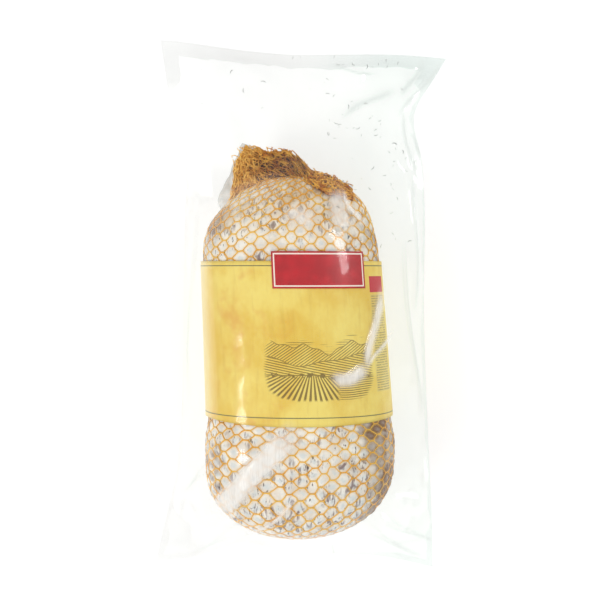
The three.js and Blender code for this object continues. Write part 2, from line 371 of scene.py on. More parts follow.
def evenTravel():
    travel = np.linspace(0, 1, 3001)
    length = sum(lengthAlong(sectionPoint(turn, *stationAt(travel))) for turn in (math.pi / 2, 0.0, math.pi))
    return lambda v: np.interp(v, length / length[-1], travel)


def evenTurn():
    # u runs 0..1 round the loaf by length, from the middle of its underside, with +X at about a quarter
    length = lengthAlong(sectionPoint(sweep, -0.02))
    return lambda u: np.interp(u, length / length[-1], sweep), length[-1]


travelAt = evenTravel()
turnAt, girth = evenTurn()


def loafPoint(u, v):
    return sectionPoint(turnAt(u), *stationAt(travelAt(v)))


# casing and net are gathered towards the clipped necks, which lie below the middle of each end
necks = dict(foot=dict(at=(-0.8, -149.6, 15.4), out=(0, -0.602, -0.799), gather=(-0.8, -146.8, 19.0),
                       length=0.017),
             crown=dict(at=(-2, 92.2, 36), out=(0, 1, 0), gather=(-2, 88.5, 36), length=0.015),
             spread=0.34, halfWidth=0.0042, halfHeight=0.0032, pleats=13, around=120, along=36)


def gathered(u, v, end):
    along = np.linspace(0.001, 0.3, 600)
    along = 1 - along if end == "foot" else along
    target = np.array(necks[end]["gather"]) / 1000 + shift
    nearest = along[np.argmin(np.linalg.norm(loafPoint(0.0, along) - target, axis=1))]
    offset = 1 - nearest if end == "foot" else nearest
    out = 1 - v if end == "foot" else v
    x = out * np.cos(fullTurn * u) + offset * np.clip(1 - out / necks["spread"], 0, 1) ** 2
    y = out * np.sin(fullTurn * u)
    far = np.hypot(x, y)
    return (np.arctan2(y, x) / fullTurn) % 1.0, 1 - far if end == "foot" else far


def loafMesh():
    u, v = np.meshgrid(np.arange(loaf["around"]) / loaf["around"],
                       (np.arange(loaf["along"] - 1) + 1) / loaf["along"])
    (uFoot, vFoot), (uCrown, vCrown) = gathered(u, v, "foot"), gathered(u, v, "crown")
    points = loafPoint(np.where(v > 0.5, uFoot, uCrown), np.where(v > 0.5, vFoot, vCrown))
    return surfaceMesh("smoothLoaf", points, wrapped=True, poles=True)


smoothLoaf = newObject("smoothLoaf", loafMesh())
print("smooth loaf", len(smoothLoaf.data.vertices), "points, girth", round(girth, 4))

# the net: hexagonal cells of elastic thread laid on a surface by its wrap map
net = dict(columns=24, rows=80, bridge=0.20, thread=0.00028, sides=4, lift=0.0006, warp=0.26, vStart=0.012,
           vEnd=0.988, endPull=0.020, crumple=0.0, crumpleScale=1.0, closed=1.0, seed=3.0,
           strandPoints=5, bridgeThick=1.45, drift=(0.22, 0.09, 0.0), driftReach=(3.0, 7.0, 0.0),
           jitter=(1.1, 0.8, 0.0), light=(255, 206, 90), dark=(246, 180, 62), deep=(214, 144, 48),
           broad=60.0, fine=700.0, twist=420.0)
ply = dict(thread=0.00019, sides=3, lift=0.0008, warp=0.31, bridge=0.26)
netLabels = dict(columns="Columns", rows="Rows", bridge="Bridge", thread="Thread Radius", sides="Sides",
                 lift="Lift", warp="Warp", vStart="V Start", vEnd="V End", endPull="End Pull",
                 crumple="Crumple", crumpleScale="Crumple Scale", closed="Closed", seed="Seed")


def buildNetTree():
    tree, given, result = geometryTree(
        "netLattice", Object=["Surface"], Int=["Columns", "Rows", "Sides"],
        Float=["Bridge", "Thread Radius", "Lift", "Warp", "V Start", "V End", "Crumple", "Crumple Scale",
               "Seed", "Closed", "End Pull"],
        Material=["Material"])
    lastColumn, lastRow = tree.minus(given["Columns"], 1), tree.minus(given["Rows"], 1)
    grid = tree.add("GeometryNodeMeshGrid", {
        "Size X": lastColumn, "Size Y": lastRow, "Vertices X": given["Columns"], "Vertices Y": given["Rows"]})
    place = tree.add("GeometryNodeInputPosition").outputs[0]
    parts = tree.parts(place)
    row = tree.calc("ROUND", tree.plus(parts["Y"], tree.times(lastRow, 0.5)))
    column = tree.plus(parts["X"], tree.times(lastColumn, 0.5))
    stagger = tree.times(tree.calc("FLOORED_MODULO", row, 2), 0.5)
    knots = tree.xyz(tree.plus(column, stagger), row)
    knots = tree.add("GeometryNodeSetPosition", {"Geometry": grid.outputs[0], "Position": knots}).outputs[0]

    # one knot's threads: the short doubled bridge and the two strands to the next row
    halfBridge = tree.times(given["Bridge"], 0.5)
    minusHalf = tree.times(halfBridge, -1)
    nextRight = tree.minus(0.5, halfBridge)
    nextLeft = tree.times(nextRight, -1)

    def strand(start, end, count, thick):
        line = tree.add("GeometryNodeCurvePrimitiveLine", {"Start": start, "End": end}).outputs[0]
        line = tree.add("GeometryNodeResampleCurve", {"Curve": line, "Count": count}).outputs[0]
        return tree.add("GeometryNodeSetCurveRadius", {"Curve": line, "Radius": thick}).outputs[0]

    template = tree.add("GeometryNodeJoinGeometry")
    for line in (
        strand(tree.xyz(minusHalf), tree.xyz(halfBridge), 3, net["bridgeThick"]),
        strand(tree.xyz(halfBridge), tree.xyz(nextRight, 1.0), net["strandPoints"], 1.0),
        strand(tree.xyz(minusHalf), tree.xyz(nextLeft, 1.0), net["strandPoints"], 1.0),
    ):
        tree.links.new(line, template.inputs[0])
    placed = tree.add("GeometryNodeInstanceOnPoints", {"Points": knots, "Instance": template.outputs[0]})
    real = tree.add("GeometryNodeRealizeInstances", {0: placed.outputs[0]}).outputs[0]

    def uneven(at, scale, detail, roughness, amount):
        field = tree.noise(at, scale, detail, roughness, colour=True)
        return tree.scaled(tree.vector("SUBTRACT", field, (0.5, 0.5, 0.5)), amount)

    # cell coordinates, pulled about a little
    seedDeep = tree.xyz(z=given["Seed"])
    drift = tree.vector("ADD", tree.vector("MULTIPLY", place, net["drift"]), seedDeep)
    pull = tree.vector("MULTIPLY", uneven(drift, 1.0, 2.0, 0.6, given["Warp"]), net["driftReach"])
    fine = tree.vector("ADD", tree.vector("MULTIPLY", place, net["jitter"]), seedDeep)
    cell = tree.vector("ADD", tree.vector("ADD", place, pull), uneven(fine, 1.0, 1.0, 0.5, given["Warp"]))
    cellParts = tree.parts(cell)
    openU = tree.over(cellParts["X"], given["Columns"])
    keptU = tree.least(tree.most(openU, 0.002), 0.998)
    u = tree.add("ShaderNodeMix", {0: given["Closed"], 2: keptU, 3: tree.calc("FRACT", openU)}).outputs[0]
    # the net is pulled longer towards its gathered ends
    v = tree.over(cellParts["Y"], given["Rows"])
    v = tree.timesPlus(tree.calc("SINE", tree.times(v, fullTurn)), given["End Pull"], v)
    v = tree.timesPlus(v, tree.minus(given["V End"], given["V Start"]), given["V Start"])
    v = tree.least(tree.most(v, given["V Start"]), given["V End"])
    where = tree.xyz(u, v)

    # laid on the surface
    surface = tree.add("GeometryNodeObjectInfo", {"Object": given["Surface"]}, transform_space="RELATIVE")
    wrapMap = tree.add("GeometryNodeInputNamedAttribute", {"Name": "wrap"}, data_type="FLOAT_VECTOR")

    def sampled(value):
        made = tree.add("GeometryNodeSampleUVSurface", data_type="FLOAT_VECTOR")
        sockets = {s.name: s for s in made.inputs if s.enabled}
        links = {"Mesh": surface.outputs["Geometry"], "Value": value, "UV Map": wrapMap.outputs[0],
                 "Sample UV": where}
        for label, source in links.items():
            tree.links.new(source, sockets[label])
        return [s for s in made.outputs if s.enabled][0]

    spot = sampled(place)
    outward = sampled(tree.add("GeometryNodeInputNormal").outputs[0])
    spot = tree.vector("ADD", spot, tree.scaled(outward, given["Lift"]))
    crumpleAt = tree.vector("ADD", cell, tree.xyz(given["Seed"], given["Seed"]))
    crumple = uneven(crumpleAt, given["Crumple Scale"], 3.0, 0.6, given["Crumple"])
    spot = tree.vector("ADD", spot, crumple)
    laid = tree.add("GeometryNodeSetPosition", {"Geometry": real, "Position": spot}).outputs[0]
    ring = tree.add("GeometryNodeCurvePrimitiveCircle", {
        "Resolution": given["Sides"], "Radius": given["Thread Radius"]}).outputs[0]
    threads = tree.add("GeometryNodeCurveToMesh", {
        "Curve": laid, "Profile Curve": ring, "Fill Caps": True,
        "Scale": tree.add("GeometryNodeInputRadius").outputs[0]})
    smooth = tree.add("GeometryNodeSetShadeSmooth", {0: threads.outputs[0]}).outputs[0]
    return closeTree(tree, smooth, given, result)


def threadMaterial(name, thread):
    material, tree, shader = newMaterial(name)
    place = tree.place()
    blotch = tree.ranged(tree.noise(place, thread["broad"], 3.0, 0.6), 0.38, 0.62)
    colour = tree.mixed(blotch, paint(thread["light"]), paint(thread["dark"]))
    fine = tree.noise(place, net["fine"], 2.0, 0.6)
    colour = tree.mixed(tree.ranged(fine, 0.5, 0.85, 0.0, 0.55), colour, paint(thread["deep"]))
    wave = {"Vector": place, "Scale": net["twist"], "Distortion": 3.0, "Detail": 1.0}
    plies = tree.add("ShaderNodeTexWave", wave, bands_direction="DIAGONAL").outputs[1]
    surfaced(tree, shader, colour, 0.62, 0.2, (0.5, 0.0002, plies))
    return material


netTree = buildNetTree()


def laidNet(name, surface, material, *sizes):
    # sizes: dictionaries whose values take the place of the loaf net's own
    values = {}
    for given in (net, *sizes):
        values.update({netLabels[key]: value for key, value in given.items() if key in netLabels})
    piece = newObject(name, bpy.data.meshes.new(name))
    return useTree(piece, netTree, {**values, "Surface": surface, "Material": material})


netMaterial = threadMaterial("orangeElastic", net)
netPiece = laidNet("elasticNet", smoothLoaf, netMaterial)
finished(netPiece, "net", "net")
finished(laidNet("netPly", smoothLoaf, netMaterial, ply), "net")  # wanders beside the first

# the casing: pushed out through the net, with lumps of meat under it
casing = dict(bulge=0.0013, reach=0.0034, roundness=2.2, lump=0.0016, lumpScale=34.0, grain=0.00025,
              grainScale=420.0, slant=-38, dyeAndShadeReach=0.0015, fuzz=1500.0,
              mould=(248, 244, 236), thinMould=(231, 220, 206), cool=(216, 222, 222),
              meat=(122, 98, 100), speck=(56, 38, 42), crownTan=(222, 186, 124), bare=(112, 68, 20),
              dyeAndShadeFringe=(242, 208, 128))


def buildReliefTree():
    tree, given, result = geometryTree(
        "casingRelief", Object=["Net"], Material=["Material"],
        Float=["Bulge", "Reach", "Lump", "Lump Scale", "Grain", "Grain Scale"])
    place = tree.add("GeometryNodeInputPosition").outputs[0]
    threads = tree.add("GeometryNodeObjectInfo", {"Object": given["Net"]}, transform_space="RELATIVE")
    near = tree.add("GeometryNodeProximity", {0: threads.outputs["Geometry"]}, target_element="FACES")
    gap = near.outputs["Distance"]
    kept = tree.add("GeometryNodeStoreNamedAttribute", {"Geometry": given["Geometry"], "Name": "netGap"},
                    data_type="FLOAT", domain="POINT")
    tree.links.new(gap, [s for s in kept.inputs if s.enabled and s.name == "Value"][0])
    hollow = tree.minus(1.0, tree.calc("DIVIDE", gap, given["Reach"], clamp=True))
    rise = tree.times(tree.minus(1.0, tree.calc("POWER", hollow, casing["roundness"])), given["Bulge"])
    lumps = tree.times(tree.minus(tree.noise(place, given["Lump Scale"], 2.0, 0.5), 0.5), given["Lump"])
    grain = tree.times(tree.minus(tree.noise(place, given["Grain Scale"], 2.0, 0.6), 0.5), given["Grain"])
    normal = tree.add("GeometryNodeInputNormal").outputs[0]
    step = tree.scaled(normal, tree.plus(tree.plus(rise, lumps), grain))
    moved = tree.add("GeometryNodeSetPosition", {"Geometry": kept.outputs[0], "Offset": step}).outputs[0]
    return closeTree(tree, moved, given, result)


def casingMaterial():
    material, tree, shader = newMaterial("mouldedCasing")
    place = tree.place()
    gap = tree.attribute("netGap")
    parts = tree.parts(place)
    # white mould, creamy where it thins and cool grey in the middle of most cells
    colour = tree.mixed(tree.ranged(tree.noise(place, 90.0, 4.0, 0.6), 0.35, 0.7),
                        paint(casing["mould"]), paint(casing["thinMould"]))
    cool = tree.ranged(tree.noise(place, 150.0, 2.0, 0.5), 0.42, 0.56)
    cool = tree.times(tree.times(cool, tree.ranged(gap, 0.0010, 0.0028)), 0.8)
    colour = tree.mixed(cool, colour, paint(casing["cool"]))
    # grey-purple meat showing through in slanting streaks, in many of the cells and more towards the ends
    fromMiddle = tree.size(tree.plus(parts["Y"], 0.03))
    towardsEnds = tree.ranged(fromMiddle, 0.06, 0.11, 0.0, 0.12)
    slanted = tree.turned(place, (1.0, 0.34, 0.7), (0.0, 0.0, math.radians(casing["slant"])))
    streak = tree.ranged(tree.noise(slanted, 300.0, 4.0, 0.65, 0.8), 0.5, 0.62)
    patch = tree.ranged(tree.plus(tree.noise(place, 62.0, 2.0, 0.6), towardsEnds), 0.48, 0.62)
    colour = tree.mixed(tree.times(tree.times(streak, patch), 0.85), colour, paint(casing["meat"]))
    # black-violet specks
    speck = tree.ranged(tree.noise(slanted, 520.0, 2.0, 0.5), 0.63, 0.70)
    speckPatch = tree.ranged(tree.plus(tree.noise(place, 80.0, 1.0, 0.5), towardsEnds), 0.50, 0.60)
    colour = tree.mixed(tree.times(tree.times(speck, speckPatch), 0.9), colour, paint(casing["speck"]))
    # bare casing on the flanks, tan towards the crown, and by the threads a tan fringe that is partly the
    # elastic's dye and partly painted shade
    stained = tree.ranged(tree.noise(place, 30.0, 3.0, 0.6), 0.44, 0.66)
    uneven = tree.times(tree.minus(tree.noise(place, 48.0, 3.0, 0.65), 0.5), 0.06)
    sideways = tree.plus(parts["X"], uneven)
    flank = tree.most(tree.ranged(sideways, 0.030, 0.056, 0.10, 1.0),
                      tree.ranged(sideways, -0.044, -0.064, 0.10, 0.8))
    crownTan = tree.times(tree.ranged(parts["Y"], 0.030, 0.075), tree.ranged(stained, 0.0, 1.0, 0.25, 0.6))
    colour = tree.mixed(crownTan, colour, paint(casing["crownTan"]))
    bare = tree.times(tree.ranged(tree.timesPlus(flank, 0.55, stained), 0.15, 0.80), flank)
    bare = tree.times(bare, tree.ranged(gap, 0.0004, 0.0034, 1.0, 0.72))
    colour = tree.mixed(bare, colour, paint(casing["bare"]))
    # partly the elastic's dye, partly painted shade where the casing meets the threads
    dyeAndShadeFringe = tree.times(tree.ranged(gap, 0.0, casing["dyeAndShadeReach"], 1.0, 0.0), 0.55)
    colour = tree.mixed(dyeAndShadeFringe, colour, paint(casing["dyeAndShadeFringe"]))
    surfaced(tree, shader, colour, 0.85, 0.25, (0.35, 0.0003, tree.noise(place, casing["fuzz"], 3.0, 0.7)))
    return material


casingPiece = useTree(newObject("casedMeat", smoothLoaf.data.copy()), buildReliefTree(), {
    "Net": netPiece, "Bulge": casing["bulge"], "Reach": casing["reach"], "Lump": casing["lump"],
    "Lump Scale": casing["lumpScale"], "Grain": casing["grain"], "Grain Scale": casing["grainScale"],
    "Material": casingMaterial()})
finished(casingPiece, "casing", "sausage")

# dry casing without meat under it, at the necks and in the tail
dryCasing = dict(pale=(252, 252, 250), grey=(236, 237, 233), clearness=0.62, pleats=420.0)


def dryCasingMaterial():
    material, tree, shader = newMaterial("dryCasingTail")
    place = tree.place()
    tint = tree.ranged(tree.noise(place, 70.0, 4.0, 0.6), 0.35, 0.7)
    colour = tree.mixed(tint, paint(dryCasing["pale"]), paint(dryCasing["grey"]))
    shader.inputs["Alpha"].default_value = dryCasing["clearness"]
    pleat = tree.noise(tree.turned(place, (1, 0.2, 1), (0, 0, 0.6)), dryCasing["pleats"], 3.0, 0.6)
    surfaced(tree, shader, colour, 0.55, bump=(0.4, 0.0006, pleat))
    return material


dryCasingLook = dryCasingMaterial()


# gathered necks at both ends, through the clips
def neckMesh(name, end, grow, pleatDepth):
    spec = necks[end]
    out = Vector(spec["out"]).normalized()
    side = Vector((1, 0, 0))
    up = side.cross(out)
    turn = np.arange(necks["around"]) / necks["around"] * 2 * math.pi
    t = np.linspace(-1, 1, necks["along"])[:, None]
    flare = 1 + 1.5 * np.clip(-t - 0.15, 0, 1) ** 2 + 0.5 * np.clip(t - 0.2, 0, 1) ** 2
    pleat = 1 + pleatDepth * np.sin(necks["pleats"] * turn + 2.0 * t) + 0.04 * np.sin(5 * turn + 3 * t)
    cuff = np.where(np.abs(t) < 0.35, 0.96, 1.0)
    a = (necks["halfWidth"] * flare * pleat * cuff + grow) * np.cos(turn)
    b = (necks["halfHeight"] * flare * pleat * cuff + grow) * np.sin(turn)
    points = np.array(spec["at"]) / 1000 + shift + a[..., None] * np.array(side) + b[..., None] * np.array(up)
    points = points + (0.5 * spec["length"] * t)[..., None] * np.array(out)
    return surfaceMesh(name, points, wrapped=True, poles=True)


neckNet = dict(columns=20, rows=9, thread=0.0003, lift=0.0, warp=0.25, vStart=0.06, vEnd=0.94, endPull=0.0,
               crumple=0.0004, seed=5.0, pleat=0.06, clear=0.0005, light=(244, 186, 84), dark=(206, 142, 54),
               deep=(140, 90, 36), broad=300.0)
neckThreads = threadMaterial("neckElastic", neckNet)
for end in ("foot", "crown"):
    neckPiece = newObject(f"{end}Neck", neckMesh(f"{end}Neck", end, 0.0, 0.10))
    setMaterial(neckPiece, dryCasingLook)
    finished(neckPiece, "casing")
    bed = newObject("bed", neckMesh("bed", end, neckNet["clear"], neckNet["pleat"]))
    piece = laidNet(f"{end}NeckNet", bed, neckThreads, neckNet)
    bpy.data.objects.remove(bed)
    finished(piece, "net")

# the tail of casing and net beyond the crown, its outlines in millimetres
tail = dict(
    root=(-2, 98.5, 36), casingWall=0.0005, casingCrumple=0.0012, bunchWall=0.0010, bunchCrumple=0.0012,
    pleat=0.0013, length=0.115, cover=0.0014, headroom=0.0034,
    casingEdge=[(-53.8, 64, 28), (-59, 74.7, 27), (-50, 94, 28.5), (-41, 114.5, 30), (-24, 108.5, 31),
                (-9, 106, 33), (5, 95, 36), (20, 89, 37), (36.8, 84.5, 37), (34.5, 79, 40)],
    bunchOuter=[(-53.6, 65.2, 31), (-50.8, 71, 31), (-47.4, 85, 31), (-46, 104, 31), (-39.6, 113.8, 32),
                (-24, 109.5, 34), (-10, 110, 36), (-1.7, 104.5, 38), (6.6, 95.5, 41), (19, 92, 42),
                (30.5, 86, 42), (36, 83, 42)],
    bunchInner=[(-46, 62, 33), (-42, 66, 36), (-38, 74, 39), (-32, 81, 42), (-26, 86, 45), (-17, 89, 46),
                (-7, 89, 47), (-1, 87, 50), (8, 82, 54), (18, 75.5, 58), (28, 73.5, 54), (35.5, 72, 48)],
    pale=(244, 192, 98), fold=(190, 128, 44), right=(134, 74, 12), heart=(92, 46, 6), tip=(160, 84, 26),
    fine=(96, 58, 20))


def evenLine(corners, count):
    # points spaced evenly along a line of corners given in millimetres
    corners = np.array(corners) / 1000
    length = lengthAlong(corners)
    at = np.linspace(0, length[-1], count)
    return np.stack([np.interp(at, length, corners[:, k]) for k in range(3)], -1)


def fanPoints(rows, cols, start, lift):
    rim = evenLine(tail["casingEdge"], cols)
    root = np.array(tail["root"]) / 1000
    out = start + (1 - start) * np.linspace(0, 1, rows)[:, None, None]
    points = root + (rim[None] - root) * out
    points[..., 2] += lift
    return points


def bunchPoints(rows, cols, reach, ragged, seed, lift):
    outer, inner = evenLine(tail["bunchOuter"], cols), evenLine(tail["bunchInner"], cols)
    along = np.linspace(0, 1, cols)
    far = reach + ragged * waves(along, along * 0, 0.05, seed)
    out = far[None, :, None] * np.linspace(0, 1, rows)[:, None, None]
    points = inner[None] + (outer - inner)[None] * out
    out = out[..., 0]
    pleats = waves(along[None, :] * tail["length"] + 0.25 * out * 0.03, out * 0.006, 0.0075, 77)
    points[..., 2] += lift + tail["pleat"] * pleats
    return points


loafTree = BVHTree.FromObject(smoothLoaf, bpy.context.evaluated_depsgraph_get())


def draped(points, clear, headroom):
    # over the sausage where it lies on it, and always under the front film
    filmTree = BVHTree.FromObject(nodes["pouch_front_film"], bpy.context.evaluated_depsgraph_get())
    flat = points.reshape(-1, 3)
    for k, (x, y, z) in enumerate(flat):
        below = loafTree.ray_cast(Vector((x, y, 0.2)), Vector((0, 0, -1)))[0]
        if below is not None:
            z = z + eased(x, -0.004, 0.014) * max(0.0, below.z + clear - z)
        above = filmTree.ray_cast(Vector((x, y, -0.02)), Vector((0, 0, 1)))[0]
        if above is not None:
            z = min(z, above.z - headroom)
        flat[k, 2] = z
    return flat.reshape(points.shape)


def crumpled(points, height, seed):
    x, y = points[..., 0], points[..., 1]
    points[..., 2] += height * (0.6 * waves(x, y, 0.018, seed) + 0.4 * waves(x, y, 0.006, seed + 1))
    points[..., 0] += height * 0.4 * waves(x, y, 0.012, seed + 2)
    return points


def roundSpot(tree, parts, x, y, across, along):
    # 0 at the middle of an oval and 1 on its rim, squared
    dx = tree.over(tree.minus(parts["X"], x), across)
    dy = tree.over(tree.minus(parts["Y"], y), along)
    return tree.plus(tree.times(dx, dx), tree.times(dy, dy))


def bunchMaterial():
    material, tree, shader = newMaterial("gatheredNet")
    place = tree.place()
    parts = tree.parts(place)
    wander = tree.ranged(tree.noise(place, 130.0, 4.0, 0.7), 0.3, 0.7, -0.5, 0.5)
    folds = tree.noise(tree.turned(place, (1.0, 0.22, 1.0)), 300.0, 3.0, 0.6)
    colour = tree.mixed(tree.ranged(folds, 0.36, 0.66), paint(tail["pale"]), paint(tail["fold"]))
    colour = tree.mixed(tree.ranged(parts["X"], -0.036, -0.022, 0.0, 0.9), colour, paint(tail["right"]))
    # the dark spot is partly the net's dense layers and partly a painted shadow where it gathers by the dome;
    # the tip spot is lighter
    for spot, shade in (((-0.012, 0.097, 0.022, 0.009), "heart"), ((0.029, 0.080, 0.011, 0.008), "tip")):
        share = tree.ranged(tree.plus(roundSpot(tree, parts, *spot), wander), 1.5, 0.3)
        colour = tree.mixed(share, colour, paint(tail[shade]))
    fine = tree.noise(tree.turned(place, (1, 0.4, 1)), 1200.0, 2.0, 0.6)
    colour = tree.mixed(tree.ranged(fine, 0.5, 0.72, 0.0, 0.45), colour, paint(tail["fine"]))
    surfaced(tree, shader, colour, 0.8, 0.12, (0.8, 0.0006, tree.timesPlus(folds, 2.0, fine)))
    return material


casingTail = newObject("casingTail", surfaceMesh(
    "casingTail", crumpled(fanPoints(46, 130, 0.06, -0.0008), tail["casingCrumple"], 5)))
walled(casingTail, tail["casingWall"])
setMaterial(casingTail, dryCasingLook)
finished(casingTail, "casing")

bunch = crumpled(bunchPoints(60, 300, 0.90, 0.05, 7, -0.0006), tail["bunchCrumple"], 11)
bunch = newObject("netBunch", surfaceMesh("netBunch", draped(bunch, tail["cover"], tail["headroom"])))
walled(bunch, tail["bunchWall"])
setMaterial(bunch, bunchMaterial())
finished(bunch, "net")

# loose layers of the same net lie on the bunch and fray past its edge
frayed = dict(
    thread=0.00032, lift=0.0, warp=1.3, vStart=0.01, vEnd=0.99, endPull=0.0, crumpleScale=0.9, closed=0.0,
    ragged=0.06, cover=0.0018, headroom=0.0012, bedRows=30, bedColumns=200,
    layers=(dict(columns=25, rows=13, crumple=0.0024, seed=1.7, rise=0.0018, reach=0.96),
            dict(columns=19, rows=10, crumple=0.0034, seed=4.1, rise=0.0030, reach=1.01),
            dict(columns=15, rows=8, crumple=0.0044, seed=8.3, rise=0.0044, reach=1.06)),
    light=(255, 198, 78), lightLeft=(255, 208, 112), dark=(198, 120, 26), darkLeft=(228, 168, 68),
    heart=(134, 70, 10), deep=(122, 64, 12))


def frayMaterial():
    material, tree, shader = newMaterial("frayedElastic")
    place = tree.place()
    parts = tree.parts(place)
    blotch = tree.ranged(tree.noise(place, 190.0, 3.0, 0.6), 0.38, 0.62)
    left = tree.ranged(parts["X"], -0.022, -0.036)
    light = tree.mixed(left, paint(frayed["light"]), paint(frayed["lightLeft"]))
    dark = tree.mixed(left, paint(frayed["dark"]), paint(frayed["darkLeft"]))
    # darker where the net gathers by the dome: partly its dense layers, partly a painted shadow
    heart = tree.ranged(roundSpot(tree, parts, -0.010, 0.096, 0.020, 0.009), 1.6, 0.2, 0.0, 0.46)
    colour = tree.mixed(heart, tree.mixed(blotch, light, dark), paint(frayed["heart"]))
    deep = tree.ranged(tree.noise(place, 800.0, 2.0, 0.6), 0.5, 0.8, 0.0, 0.5)
    surfaced(tree, shader, tree.mixed(deep, colour, paint(frayed["deep"])), 0.8, 0.12)
    return material


frayLook = frayMaterial()
for number, layer in enumerate(frayed["layers"]):
    spread = bunchPoints(frayed["bedRows"], frayed["bedColumns"], layer["reach"], frayed["ragged"],
                         20 + number, layer["rise"])
    spread = draped(spread, frayed["cover"] + layer["rise"], frayed["headroom"])
    bed = newObject("bed", surfaceMesh("bed", spread))
    piece = laidNet(f"frayedNet{number + 1}", bed, frayLook, frayed, layer)
    bpy.data.objects.remove(bed)
    finished(piece, "net")

# the paper band, one strip wound round the sausage and glued underneath
band = dict(
    sag=0.0028, low=-0.075, high=0.0305, lowHalf=0.0643, highHalf=0.0619, overlap=0.12, step=0.0007,
    clear=0.00185, wall=0.00035, around=220, along=44, ruleHigh=0.0274, ruleLow=-0.0719, rule=0.0003,
    scenery=(-0.0200, 0.0525, -0.0605, -0.0170), notes=(0.0560, 0.0735, -0.0570, 0.0085),
    notesHead=(0.0560, 0.0735, 0.0095, 0.0205), notesLine=0.00165,
    yellow=(243, 221, 118), gold=(231, 194, 74), warm=(226, 168, 70), streak=(210, 170, 66),
    pale=(246, 230, 170), ruleInk=(44, 74, 62), ink=(92, 68, 24), notesPaper=(206, 190, 128),
    notesInk=(96, 84, 58), red=(196, 36, 50))


def bandHalf(t):
    # half of the band's width across the sausage, t 0 at its low edge to 1 at its high one
    return band["lowHalf"] + (band["highHalf"] - band["lowHalf"]) * t


def bandPoints(wall):
    wound = np.linspace(0, 1 + band["overlap"], band["around"])[None, :]
    t = np.linspace(0, 1, band["along"])[:, None]
    sag = band["sag"] * np.sin(fullTurn * (wound - 0.25)).clip(0) ** 2 * (1 - t) ** 2
    y = band["low"] - sag + (band["high"] - band["low"] + sag) * t
    grow = bandHalf(t) - halfWidthAt(y) + wound * band["step"] + wall
    under = band["clear"] + wound * band["step"] + wall
    return sectionPoint(fullTurn * wound - math.pi / 2, y, 1.0, grow, under)


def bandMesh():
    # outer and inner faces of one wound strip, closed round its rim
    outer, inner = bandPoints(band["wall"]), bandPoints(0.0)
    rows, cols = outer.shape[:2]
    points = np.vstack([outer.reshape(-1, 3), inner.reshape(-1, 3)])
    faces, uvs = [], []
    ring = lengthAlong(outer[rows // 2])
    ring -= np.interp(0.5, np.linspace(0, 1 + band["overlap"], cols), ring)

    def uvOf(r, c):
        return (ring[c], outer[r, c, 1] - shift[1])

    under = rows * cols
    for r in range(rows - 1):
        for c in range(cols - 1):
            a, b, d, e = r * cols + c, r * cols + c + 1, (r + 1) * cols + c + 1, (r + 1) * cols + c
            spots = [uvOf(r, c), uvOf(r, c + 1), uvOf(r + 1, c + 1), uvOf(r + 1, c)]
            faces.append((e, d, b, a))
            uvs += spots[::-1]
            faces.append((under + a, under + b, under + d, under + e))
            uvs += spots
    rim = [(0, c) for c in range(cols)] + [(r, cols - 1) for r in range(1, rows)]
    rim += [(rows - 1, c) for c in range(cols - 2, -1, -1)] + [(r, 0) for r in range(rows - 2, 0, -1)]
    for (r1, c1), (r2, c2) in zip(rim, rim[1:] + rim[:1]):
        a, b = r1 * cols + c1, r2 * cols + c2
        faces.append((a, b, under + b, under + a))
        uvs += [uvOf(r1, c1), uvOf(r2, c2), uvOf(r2, c2), uvOf(r1, c1)]
    mesh = bpy.data.meshes.new("paperBand")
    mesh.from_pydata(points.tolist(), [], faces)
    mesh.uv_layers.new(name="print").data.foreach_set("uv", np.array(uvs, np.float32).ravel())
    work = bmesh.new()
    work.from_mesh(mesh)
    bmesh.ops.recalc_face_normals(work, faces=work.faces)
    work.to_mesh(mesh)
    work.free()
    smoothed(mesh)
    return mesh


def lineAt(tree, at, centre, half):
    return tree.ranged(tree.size(tree.minus(at, centre)), half * 1.5, half * 0.6)


def hatch(tree, value, rate, fill=0.0):
    return tree.ranged(tree.calc("SINE", tree.times(value, rate)), fill, fill + 0.35)


def upFrom(tree, at, line, soft):
    return tree.ranged(at, line, tree.plus(line, soft))


def downFrom(tree, at, line, soft):
    return tree.ranged(at, line, tree.minus(line, soft))


